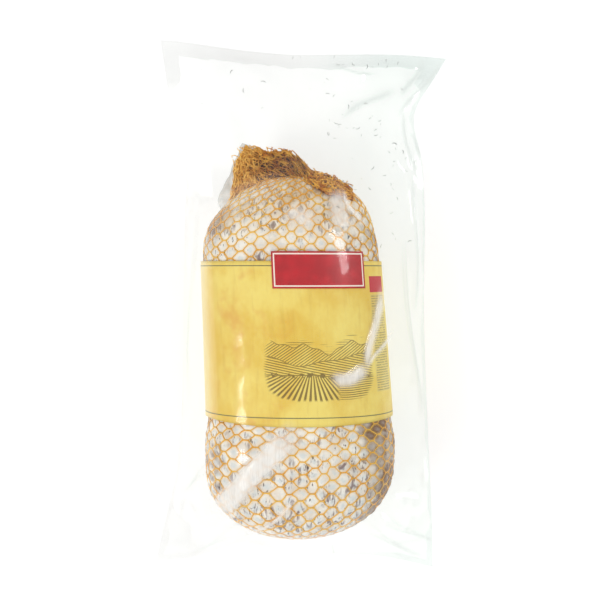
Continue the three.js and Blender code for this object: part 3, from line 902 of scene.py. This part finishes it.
def sceneryInk(tree, flat, a, b):
    # engraved fields under hills, by formula: a runs across the picture and b up it
    def wavyLine(height, *swings):
        total = height
        for size, rate, phase in swings:
            total = tree.timesPlus(tree.calc("SINE", tree.timesPlus(a, rate, phase)), size, total)
        return total

    fieldTop = wavyLine(0.36, (0.025, 5.0, 0.6), (0.01, 13.0, 2.0))
    hillTop = wavyLine(0.60, (0.07, 6.4, 2.4), (0.025, 15.0, 0.5))
    ridgeTop = wavyLine(0.80, (0.06, 8.2, 0.3), (0.045, 17.0, 1.1), (0.02, 41.0, 0.0))
    rays = tree.calc("ARCTAN2", tree.minus(a, 0.42), tree.minus(0.58, b))
    furrows = tree.times(hatch(tree, rays, 74.0, -0.1), tree.ranged(a, 0.68, 0.62))
    rows = tree.times(hatch(tree, tree.minus(b, fieldTop), 190.0, 0.1), tree.ranged(a, 0.62, 0.68))
    field = tree.times(tree.most(furrows, rows), downFrom(tree, b, fieldTop, 0.02))
    hill = tree.times(hatch(tree, tree.timesPlus(a, 0.35, b), 165.0, 0.2), downFrom(tree, b, hillTop, 0.015))
    hill = tree.times(hill, upFrom(tree, b, fieldTop, 0.015))
    clumps = tree.ranged(tree.noise(flat, 330.0, 2.0, 0.5), 0.5, 0.58)
    clumps = tree.times(clumps, lineAt(tree, b, fieldTop, 0.035))
    ridge = hatch(tree, tree.timesPlus(a, -1.1, b), 150.0, 0.3)
    ridge = tree.times(ridge, downFrom(tree, b, ridgeTop, 0.015))
    ridge = tree.times(ridge, upFrom(tree, b, hillTop, 0.015))
    tops = ((hillTop, 0.006), (ridgeTop, 0.006), (fieldTop, 0.007))
    outlines = [lineAt(tree, b, top, half) for top, half in tops]
    clouds = tree.noise(tree.turned(flat, (0.35, 1.6, 1.0)), 90.0, 2.0, 0.5)
    sky = tree.times(hatch(tree, b, 190.0, 0.45), tree.ranged(clouds, 0.52, 0.6))
    sky = tree.times(sky, upFrom(tree, b, ridgeTop, 0.02))
    ink = tree.most(field, hill, ridge, *outlines, sky, clumps)

    # fading unevenly towards its corners
    def fromMiddle(value):
        return tree.calc("POWER", tree.size(tree.timesPlus(value, 2.0, -1.0)), 4.0)

    uneven = tree.times(tree.noise(flat, 120.0, 2.0, 0.5), 0.5)
    fade = tree.ranged(tree.plus(tree.plus(fromMiddle(a), fromMiddle(b)), uneven), 1.45, 1.1)
    return tree.times(tree.times(ink, fade), 0.82)


def bandMaterial():
    material, tree, shader = newMaterial("yellowPaper")
    flat = tree.uvMap("print")
    parts = tree.parts(flat)
    s = tree.times(parts["X"], -1.0)
    v = parts["Y"]

    def within(box, soft=0.0002):
        low = tree.least(tree.ranged(s, box[0], box[0] + soft), tree.ranged(s, box[1], box[1] - soft))
        high = tree.least(tree.ranged(v, box[2], box[2] + soft), tree.ranged(v, box[3], box[3] - soft))
        return tree.least(low, high)

    # mottled yellow stock, warmer in soft patches and paler towards the fold at the left
    broad = tree.ranged(tree.noise(tree.turned(flat, (1.0, 0.8, 1.0)), 22.0, 5.0, 0.62), 0.36, 0.66)
    colour = tree.mixed(broad, paint(band["yellow"]), paint(band["gold"]))
    warm = tree.ranged(tree.noise(flat, 34.0, 3.0, 0.7), 0.5, 0.74, 0.0, 0.65)
    warm = tree.times(warm, tree.ranged(s, 0.012, -0.02, 0.25, 1.0))
    colour = tree.mixed(warm, colour, paint(band["warm"]))
    streaks = tree.noise(tree.turned(flat, (1.0, 0.12, 1.0)), 210.0, 4.0, 0.7)
    colour = tree.mixed(tree.ranged(streaks, 0.5, 0.72, 0.0, 0.30), colour, paint(band["streak"]))
    colour = tree.mixed(tree.ranged(s, -0.058, -0.074, 0.0, 0.6), colour, paint(band["pale"]))

    # two dark rules and the engraving
    rules = tree.most(*(lineAt(tree, v, band[which], band["rule"]) for which in ("ruleHigh", "ruleLow")))
    colour = tree.mixed(tree.times(rules, 0.85), colour, paint(band["ruleInk"]))
    s0, s1, v0, v1 = band["scenery"]
    a = tree.over(tree.minus(s, s0), s1 - s0)
    b = tree.over(tree.minus(v, v0), v1 - v0)
    ink = tree.times(sceneryInk(tree, flat, a, b), within((s0 - 0.002, s1 + 0.002, v0 - 0.002, v1 + 0.002)))
    colour = tree.mixed(ink, colour, paint(band["ink"]))

    # a column of plain ruled lines with a plain red head
    left, right, low, high = band["notes"]
    ruled = hatch(tree, v, fullTurn / band["notesLine"], 0.1)
    ruled = tree.times(ruled, within((left + 0.001, right, low, high)))
    broken = tree.ranged(tree.noise(tree.turned(flat, (1.0, 0.6, 1.0)), 480.0, 1.0, 0.5), 0.38, 0.44)
    colour = tree.mixed(tree.times(within(band["notes"], 0.0004), 0.35), colour, paint(band["notesPaper"]))
    colour = tree.mixed(tree.times(tree.times(ruled, broken), 0.55), colour, paint(band["notesInk"]))
    colour = tree.mixed(within(band["notesHead"]), colour, paint(band["red"]))
    surfaced(tree, shader, colour, 0.55, bump=(0.12, 0.0003, tree.noise(tree.place(), 900.0, 3.0, 0.6)))
    return material


# the red panel: a plain tab of the band that stands above its edge
panel = dict(left=-0.0128, right=0.0512, low=0.0125, high=0.0368, proud=0.0004, wall=0.0003, keyline=0.0016,
             keylineHalf=0.00045, columns=90, rows=26, red=(200, 22, 36), deepRed=(176, 14, 28),
             cream=(250, 238, 226))


def panelMesh():
    # s runs rightwards from the middle of the band's front, by length
    y = panel["low"] + (panel["high"] - panel["low"]) * np.linspace(0, 1, panel["rows"])[:, None]
    t = np.clip((y - band["low"]) / (band["high"] - band["low"]), 0, 1)
    grow = bandHalf(t) - halfWidthAt(np.minimum(y, band["high"])) + 0.5 * band["step"]
    grow = grow + band["wall"] + panel["proud"]
    length = lengthAlong(sectionPoint(sweep, 0.015, 1.0, float(grow[0, 0])))
    length = np.interp(math.pi / 2, sweep, length) - length
    s = np.linspace(panel["left"], panel["right"], panel["columns"])
    turns = np.interp(s, length[::-1], sweep[::-1])[None, :]
    return surfaceMesh("redPanel", sectionPoint(turns, y, 1.0, grow))


def panelMaterial():
    material, tree, shader = newMaterial("redInk")
    parts = tree.parts(tree.uvMap("wrap"))

    def toEdge(value, size):
        return tree.times(tree.minus(0.5, tree.size(tree.minus(value, 0.5))), size)

    edge = tree.least(toEdge(parts["X"], panel["right"] - panel["left"]),
                      toEdge(parts["Y"], panel["high"] - panel["low"]))
    off = tree.size(tree.minus(edge, panel["keyline"]))
    keyline = tree.ranged(off, panel["keylineHalf"] * 1.3, panel["keylineHalf"] * 0.7)
    shade = tree.ranged(tree.noise(tree.place(), 120.0, 3.0, 0.6), 0.3, 0.7)
    red = tree.mixed(shade, paint(panel["red"]), paint(panel["deepRed"]))
    surfaced(tree, shader, tree.mixed(keyline, red, paint(panel["cream"])), 0.4)
    return material


panelPiece = newObject("redPanel", panelMesh())
walled(panelPiece, panel["wall"])
setMaterial(panelPiece, panelMaterial())
finished(panelPiece, "band")

bandPiece = newObject("paperBand", bandMesh())
setMaterial(bandPiece, bandMaterial())
finished(bandPiece, "band", "paper_band")

# the pouch films
# the film's last colour is the white of the painted highlight along the creases on the sausage
film = dict(levels=3, weldTop=0.0105, weldFoot=0.0050, weldSide=0.0022, weldReach=0.007, rib=0.0016,
            ribHeight=0.00012, ripple=0.0009, rippleSize=0.030, underside=0.0006, highlightSlant=-38,
            # right-hand tints: the film's faint green, deepened towards the right as painted shade
            clearLeft=(0.998, 0.9998, 0.997, 1), clearRight=(0.991, 0.999, 0.993, 1),
            weldLeft=(0.968, 0.969, 0.966, 1), weldRight=(0.948, 0.964, 0.957, 1),
            sideLeft=(0.987, 0.988, 0.985, 1), sideRight=(0.968, 0.981, 0.974, 1),
            crease=(0.938, 0.952, 0.944, 1), highlightWhite=(1.0, 0.985, 0.955, 1))
folds = [  # each from its start to its end in mm, then height, half width, sharpness and the strength of the painted highlight along it
    ((100.8, 174.3), (71.7, 136.0), 0.0036, 0.0034, 1.0, 0.0),
    ((71.7, 136.0), (79.9, 91.5), 0.0028, 0.0026, 1.0, 0.0),
    ((88.0, 176.0), (74.0, 150.0), -0.0020, 0.0040, 1.4, 0.0),
    ((79.9, 91.5), (81.2, -2.6), 0.0020, 0.0017, 1.0, 0.0),
    ((76.5, 120.0), (88.0, 104.0), 0.0018, 0.0020, 1.0, 0.0),
    ((31.4, 134.3), (63.8, 153.4), 0.0016, 0.0055, 2.0, 0.0),
    ((20.0, 170.0), (52.0, 166.0), 0.0010, 0.0022, 1.2, 0.0),
    ((-28.6, -152.8), (-72.0, -173.9), 0.0026, 0.0026, 1.0, 0.0),
    ((45.4, -158.0), (86.3, -180.4), 0.0026, 0.0028, 1.0, 0.0),
    ((-20.0, -160.0), (-40.0, -184.0), 0.0012, 0.0040, 2.0, 0.0),
    ((60.0, -150.0), (96.0, -172.0), 0.0018, 0.0022, 1.0, 0.0),
    ((20.0, -166.0), (28.0, -186.0), 0.0010, 0.0030, 1.6, 0.0),
    ((-74.0, 60.0), (-79.0, -60.0), 0.0010, 0.0016, 1.0, 0.0),
    ((-60.0, -110.0), (-82.0, -128.0), 0.0016, 0.0026, 1.2, 0.0),
    ((72.0, 40.0), (84.0, -70.0), 0.0012, 0.0022, 1.2, 0.0),
    ((-56.6, -140.7), (-6.8, -78.3), 0.0014, 0.0070, 5.0, 0.62),
    ((-35.6, -154.7), (-2.3, -123.9), 0.0008, 0.0009, 2.0, 0.6),
    ((21.2, -47.6), (44.6, -40.8), 0.0014, 0.0040, 2.5, 0.65),
    ((44.6, -40.8), (53.4, 11.9), 0.0014, 0.0022, 2.0, 0.6),
    ((44.6, -40.8), (61.4, -15.4), 0.0008, 0.0009, 1.5, 0.6),
    ((20.3, 77.0), (32.3, 50.6), 0.0014, 0.0052, 3.0, 0.45),
    ((28.0, 78.0), (40.0, 56.0), 0.0010, 0.0011, 1.5, 0.7),
    ((-8.0, 66.0), (6.0, 54.0), 0.0006, 0.0050, 2.0, 0.4),
]


def filmRelief(x, y, over):
    # over: 1 where the film lies on the sausage or its tail, 0 out on the flat margin
    total, highlightMask, foldShadeLine = np.zeros_like(x), np.zeros_like(x), np.zeros_like(x)
    for (x0, y0), (x1, y1), height, half, sharp, highlightPaint in folds:
        start, along = np.array((x0, y0)) / 1000, np.array((x1 - x0, y1 - y0)) / 1000
        length = np.linalg.norm(along)
        t = ((x - start[0]) * along[0] + (y - start[1]) * along[1]) / length ** 2
        bend = 0.0016 * np.sin(t * 5 + x0)
        across = ((x - start[0]) * along[1] - (y - start[1]) * along[0]) / length + bend
        ends = np.clip(np.minimum(t + 0.12, 1.12 - t) / 0.3, 0, 1)
        profile = ends * ends * np.exp(-np.abs(across / half) ** sharp)
        total += height * profile
        # painted highlight: each fold's share of white, following its profile
        highlightMask = np.maximum(highlightMask, highlightPaint * profile)
        # painted shade: a thin darker line along each fold without a painted highlight
        if not highlightPaint:
            foldShadeLine = np.maximum(foldShadeLine, ends * np.exp(-np.abs(across / (0.45 * half)) ** 1.5))
    ripple = film["ripple"] * (waves(x, y, film["rippleSize"], 40) + 0.15 * waves(x, y, 0.011, 41))
    total += ripple * (1 - 0.8 * over)
    return np.where(over > 0, np.maximum(total, 0) * over + total * (1 - over), total), highlightMask, foldShadeLine


def filmCover(x, y):
    body = (np.abs(x) / 0.070) ** 4 + (np.abs(y + 0.022) / 0.142) ** 4
    end = ((x + 0.006) / 0.062) ** 2 + ((y - 0.092) / 0.030) ** 2
    return np.clip((1.45 - np.minimum(body, end)) / 0.45, 0, 1)


def filmMesh(node, name):
    # the rim stays sharp under the smoothing, and points along it tell how far a spot is from the edge
    mesh = mergedCopy(node, name)
    work = bmesh.new()
    work.from_mesh(mesh)
    crease = work.edges.layers.float.get("crease_edge") or work.edges.layers.float.new("crease_edge")
    rim = []
    for edge in work.edges:
        if len(edge.link_faces) == 2 and edge.calc_face_angle(0.0) > 1.0:
            edge[crease] = 1.0
            a, b = edge.verts[0].co, edge.verts[1].co
            rim += [a.lerp(b, k / 6) for k in range(6)]
    work.to_mesh(mesh)
    work.free()
    return mesh, rim


def wrinkled(piece, rim, front):
    points = vertexArray(piece.data)
    x, y = points[:, 0], points[:, 1]
    over = filmCover(x, y)
    edge = KDTree(len(rim))
    for k, spot in enumerate(rim):
        edge.insert((spot[0], spot[1], 0), k)
    edge.balance()
    gap = np.array([edge.find((px, py, 0))[2] for px, py in zip(x, y)])
    relief, highlightMask, foldShadeLine = filmRelief(x, y, over)
    if not front:
        relief, highlightMask = relief * (1 - over), highlightMask * 0
        relief = np.maximum(relief, film["underside"] - points[:, 2])
    # the weld is pressed flat and finely ribbed
    welded = np.clip((film["weldReach"] - gap) / 0.003, 0, 1)
    ribs = film["ribHeight"] * welded * np.sin(gap * 2 * math.pi / film["rib"])
    points[:, 2] += relief * (1 - 0.6 * welded) + ribs
    setVertices(piece.data, points)
    for name, values in (("edgeGap", gap), ("highlightMask", highlightMask), ("foldShadeLine", foldShadeLine)):
        layer = piece.data.attributes.new(name, "FLOAT", "POINT")
        layer.data.foreach_set("value", values.astype(np.float32))


def filmMaterial():
    material, tree, shader = newMaterial("clearFilm")
    tree.nodes.remove(shader)
    place = tree.place()
    parts = tree.parts(place)
    wander = tree.ranged(tree.noise(place, 40.0, 3.0, 0.6), 0.3, 0.7, -0.0012, 0.0012)
    # a wide weld across the top, narrower at the foot and the sides
    width = tree.ranged(parts["Y"], 0.150, 0.160, film["weldSide"], film["weldTop"])
    width = tree.most(width, tree.ranged(parts["Y"], -0.155, -0.165, film["weldSide"], film["weldFoot"]))
    inside = tree.minus(tree.plus(tree.attribute("edgeGap"), wander), width)
    weld = tree.ranged(inside, 0.0006, -0.0006)
    # painted shade: the film's faint green tint grows darker towards the right, on the open film and on the
    # welds
    shadeRightward = tree.ranged(tree.plus(parts["X"], tree.times(wander, 8.0)), -0.01, 0.09)
    tint = tree.mixed(shadeRightward, film["clearLeft"], film["clearRight"])
    shadeRightwardOnWelds = tree.ranged(parts["X"], -0.02, 0.09)
    weldTint = tree.mixed(shadeRightwardOnWelds, film["weldLeft"], film["weldRight"])
    sideTint = tree.mixed(shadeRightwardOnWelds, film["sideLeft"], film["sideRight"])
    weldTint = tree.mixed(tree.ranged(parts["Y"], 0.150, 0.162), sideTint, weldTint)
    tint = tree.mixed(weld, tint, weldTint)
    # painted shade: a darker line along the folds
    tint = tree.mixed(tree.times(tree.attribute("foldShadeLine"), 0.8), tint, film["crease"])
    clear = tree.add("ShaderNodeBsdfTransparent", {"Color": tint})
    glossy = tree.add("ShaderNodeBsdfPrincipled", {
        "Base Color": (1, 1, 1, 1), "Metallic": 1.0, "Roughness": 0.10})
    facing = tree.add("ShaderNodeLayerWeight", {"Blend": 0.5}).outputs["Facing"]
    glance = tree.ranged(tree.calc("POWER", facing, 3.0), 0.0, 1.0, 0.012, 0.72, smooth=False)
    joined = tree.add("ShaderNodeMixShader", {0: glance, 1: clear.outputs[0], 2: glossy.outputs[0]})
    # painted highlight: the film is painted white along the creases that lie on the sausage, standing for the
    # lamps' glint on it
    highlightPaint = tree.add("ShaderNodeBsdfDiffuse", {"Color": film["highlightWhite"]})
    drawn = tree.turned(place, (1.0, 0.12, 1.0), (0.0, 0.0, math.radians(film["highlightSlant"])))
    broken = tree.ranged(tree.noise(drawn, 330.0, 3.0, 0.6), 0.38, 0.62, 0.78, 1.0)
    share = tree.times(tree.times(tree.attribute("highlightMask"), broken), 0.95)
    withHighlight = tree.add("ShaderNodeMixShader", {0: share, 1: joined.outputs[0], 2: highlightPaint.outputs[0]})
    tree.links.new(withHighlight.outputs[0], tree.nodes["Material Output"].inputs[0])
    return material


filmLook = filmMaterial()
for node, name in (("pouch_front_film", "frontFilm"), ("pouch_back_film", "backFilm")):
    mesh, rim = filmMesh(node, name)
    piece = newObject(name, mesh)
    smoothing = piece.modifiers.new("smoothing", "SUBSURF")
    smoothing.levels = smoothing.render_levels = film["levels"]
    settle(piece)
    wrinkled(piece, rim, node == "pouch_front_film")
    setMaterial(piece, filmLook)
    finished(piece, "film", node)

# specks caught in the film: short bent fibres
specks = dict(density=30000.0, length=0.0022, thick=0.00014, bend=0.45, sizes=(0.3, 1.5), seed=9,
              dark=(84, 86, 84), light=(156, 160, 154))


def buildSpeckTree():
    tree, given, result = geometryTree(
        "speckScatter", Object=["Film"], Float=["Density", "Length", "Thickness"], Int=["Seed"],
        Material=["Material"])
    place = tree.add("GeometryNodeInputPosition").outputs[0]
    parts = tree.parts(place)
    normal = tree.add("GeometryNodeInputNormal").outputs[0]
    upward = tree.parts(normal)["Z"]
    source = tree.add("GeometryNodeObjectInfo", {"Object": given["Film"]}, transform_space="RELATIVE")
    # thick on the upper right of the margin, thin elsewhere along the top
    right = tree.times(tree.ranged(parts["X"], 0.010, 0.035), tree.ranged(parts["X"], 0.086, 0.070))
    right = tree.times(right, tree.ranged(parts["Y"], 0.035, 0.060))
    left = tree.times(tree.ranged(parts["Y"], 0.115, 0.130), tree.ranged(parts["X"], 0.02, 0.0, 0.0, 0.16))
    share = tree.times(tree.most(right, left), tree.ranged(parts["Y"], 0.181, 0.174))
    share = tree.times(share, tree.calc("GREATER_THAN", upward, 0.5))
    share = tree.times(share, tree.ranged(tree.noise(place, 55.0, 2.0, 0.5), 0.42, 0.62))
    spread = tree.add("GeometryNodeDistributePointsOnFaces", {
        "Mesh": source.outputs["Geometry"], "Density": tree.times(share, given["Density"]),
        "Seed": given["Seed"]}, distribute_method="RANDOM")
    turn = tree.add("FunctionNodeRandomValue", {
        "Min": (0.0, 0.0, 0.0), "Max": (0.0, 0.0, fullTurn)}, data_type="FLOAT_VECTOR")
    smallest, largest = specks["sizes"]
    size = tree.add("FunctionNodeRandomValue", {2: smallest, 3: largest}, data_type="FLOAT")
    arc = tree.add("GeometryNodeCurveQuadraticBezier", {
        "Resolution": 6, "Start": tree.xyz(tree.times(given["Length"], -0.5)),
        "Middle": tree.xyz(y=tree.times(given["Length"], specks["bend"])),
        "End": tree.xyz(tree.times(given["Length"], 0.5))}).outputs[0]
    section = tree.add("GeometryNodeCurvePrimitiveCircle", {
        "Resolution": 4, "Radius": given["Thickness"]}).outputs[0]
    fibre = tree.add("GeometryNodeCurveToMesh", {"Curve": arc, "Profile Curve": section, "Fill Caps": True})
    placed = tree.add("GeometryNodeInstanceOnPoints", {
        "Points": spread.outputs["Points"], "Instance": fibre.outputs[0], "Rotation": turn.outputs[0],
        "Scale": size.outputs[1]}).outputs[0]
    return closeTree(tree, placed, given, result)


def speckMaterial():
    material, tree, shader = newMaterial("greyFibre")
    shade = tree.ranged(tree.noise(tree.place(), 60.0, 2.0, 0.5), 0.35, 0.65)
    surfaced(tree, shader, tree.mixed(shade, paint(specks["dark"]), paint(specks["light"])), 0.7)
    return material


speckPiece = useTree(newObject("filmSpecks", bpy.data.meshes.new("filmSpecks")), buildSpeckTree(), {
    "Film": bpy.data.objects["frontFilm"], "Density": specks["density"], "Length": specks["length"],
    "Thickness": specks["thick"], "Seed": specks["seed"], "Material": speckMaterial()})
finished(speckPiece, "film")
bpy.data.objects.remove(smoothLoaf)

# the clips keep their CAD shape
clip = dict(light=(205, 207, 210), dark=(160, 163, 168), scratches=900.0, roughness=0.35)


def clipMaterial():
    material, tree, shader = newMaterial("pressedAluminium")
    scratch = tree.noise(tree.place(), clip["scratches"], 3.0, 0.6)
    colour = tree.mixed(scratch, paint(clip["light"]), paint(clip["dark"]))
    surfaced(tree, shader, colour, clip["roughness"])
    shader.inputs["Metallic"].default_value = 1.0
    return material


clipLook = clipMaterial()
for name in ("crown_clip", "foot_clip"):
    setMaterial(nodes[name], clipLook)
    print(name, "coloured")

# floor and light
studio = dict(floorGrey=0.60, floorGlow=0.52, skyGlow=0.64, floorHalf=3)


def floorMaterial():
    material, _, shader = newMaterial("paleFloor")
    grey = studio["floorGrey"]
    shader.inputs["Base Color"].default_value = (grey, grey, grey, 1)
    shader.inputs["Roughness"].default_value = 0.9
    shader.inputs["Specular IOR Level"].default_value = 0.0
    shader.inputs["Emission Color"].default_value = (1, 1, 1, 1)
    shader.inputs["Emission Strength"].default_value = studio["floorGlow"]
    return material


floorMesh = bpy.data.meshes.new("floor")
far = studio["floorHalf"]
corners = [(-far, -far, 0), (far, -far, 0), (far, far, 0), (-far, far, 0)]
floorMesh.from_pydata(corners, [], [(0, 1, 2, 3)])
floor = newObject("floor", floorMesh)
setMaterial(floor, floorMaterial())

scene.view_settings.view_transform = "Standard"
world = bpy.data.worlds.new("studio")
world.use_nodes = True
world.node_tree.nodes["Background"].inputs[0].default_value = (1, 1, 1, 1)
world.node_tree.nodes["Background"].inputs[1].default_value = studio["skyGlow"]
scene.world = world


def softLight(name, place, size, power):
    lamp = bpy.data.lights.new(name, "AREA")
    lamp.shape = "RECTANGLE"
    lamp.size, lamp.size_y = size
    lamp.energy = power
    made = newObject(name, lamp)
    made.location = place
    made.rotation_euler = (Vector((0, 0, 0.05)) - Vector(place)).to_track_quat("-Z", "Y").to_euler()


softLight("leftBox", (-1.1, -0.5, 1.1), (0.75, 0.3), 9)
softLight("rightBox", (1.1, 0.5, 1.2), (0.6, 0.3), 7)

# the camera looks down from above the band with +Y up; focal is its lens against the frame's width
camera = dict(height=0.70, over=(-0.0007, 0.0255), aim=(-0.0003, 0.0045, 0.043), focal=949 / 600, sensor=36)
cameraData = bpy.data.cameras.new("camera")
cameraData.sensor_width = camera["sensor"]
cameraData.lens = camera["focal"] * camera["sensor"]
cameraObject = newObject("camera", cameraData)
cameraObject.location = (*camera["over"], camera["height"])
back = (cameraObject.location - Vector(camera["aim"])).normalized()
side = Vector((0, 1, 0)).cross(back).normalized()
cameraObject.rotation_euler = Matrix((side, back.cross(side), back)).transposed().to_euler()
scene.camera = cameraObject
